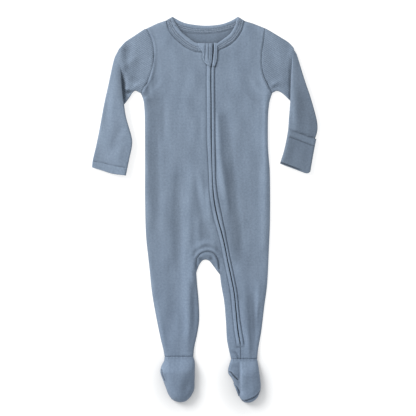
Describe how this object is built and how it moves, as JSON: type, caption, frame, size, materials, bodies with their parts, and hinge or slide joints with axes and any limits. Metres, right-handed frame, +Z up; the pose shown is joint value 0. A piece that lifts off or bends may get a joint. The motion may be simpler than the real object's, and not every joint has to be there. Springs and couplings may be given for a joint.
{
  "type": "footed baby sleepsuit, laid flat",
  "caption": "Long-sleeved footed sleepsuit in fine rib knit, laid flat on its back, with a front zip that curves down the left leg to the ankle.",
  "frame": {"origin": "centre of the box that holds the garment, on the surface it lies on", "axes": "+Y towards the neck, +Z up from the surface it lies on, +X towards the wearer's left"},
  "size_m": [0.3594, 0.617, 0.016],
  "materials": {
    "knit": "matt fine rib knit, dusty blue",
    "neck_rib": "matt rib knit band, dusty blue",
    "zip_tape": "woven tape, dusty blue",
    "zip_plastic": "satin moulded plastic"
  },
  "bodies": {
    "root": {"back": "knit", "front_right": "knit", "front_left": "knit", "gusset": "knit", "neck_band_back": "neck_rib", "neck_band_front_right": "neck_rib", "neck_band_front_left": "neck_rib", "zip_tape": "zip_tape", "zip_slider": "zip_plastic", "zip_guard": "knit", "zip_guard_strip": "knit", "sleeve_right_upper": "knit", "sleeve_right_lower": "knit", "sleeve_left_upper": "knit", "sleeve_left_lower": "knit", "mitten_left": "knit", "mitten_right": "knit", "foot_upper_right": "knit", "foot_sole_right": "knit", "foot_upper_left": "knit", "foot_sole_left": "knit"}
  },
  "joints": []
}
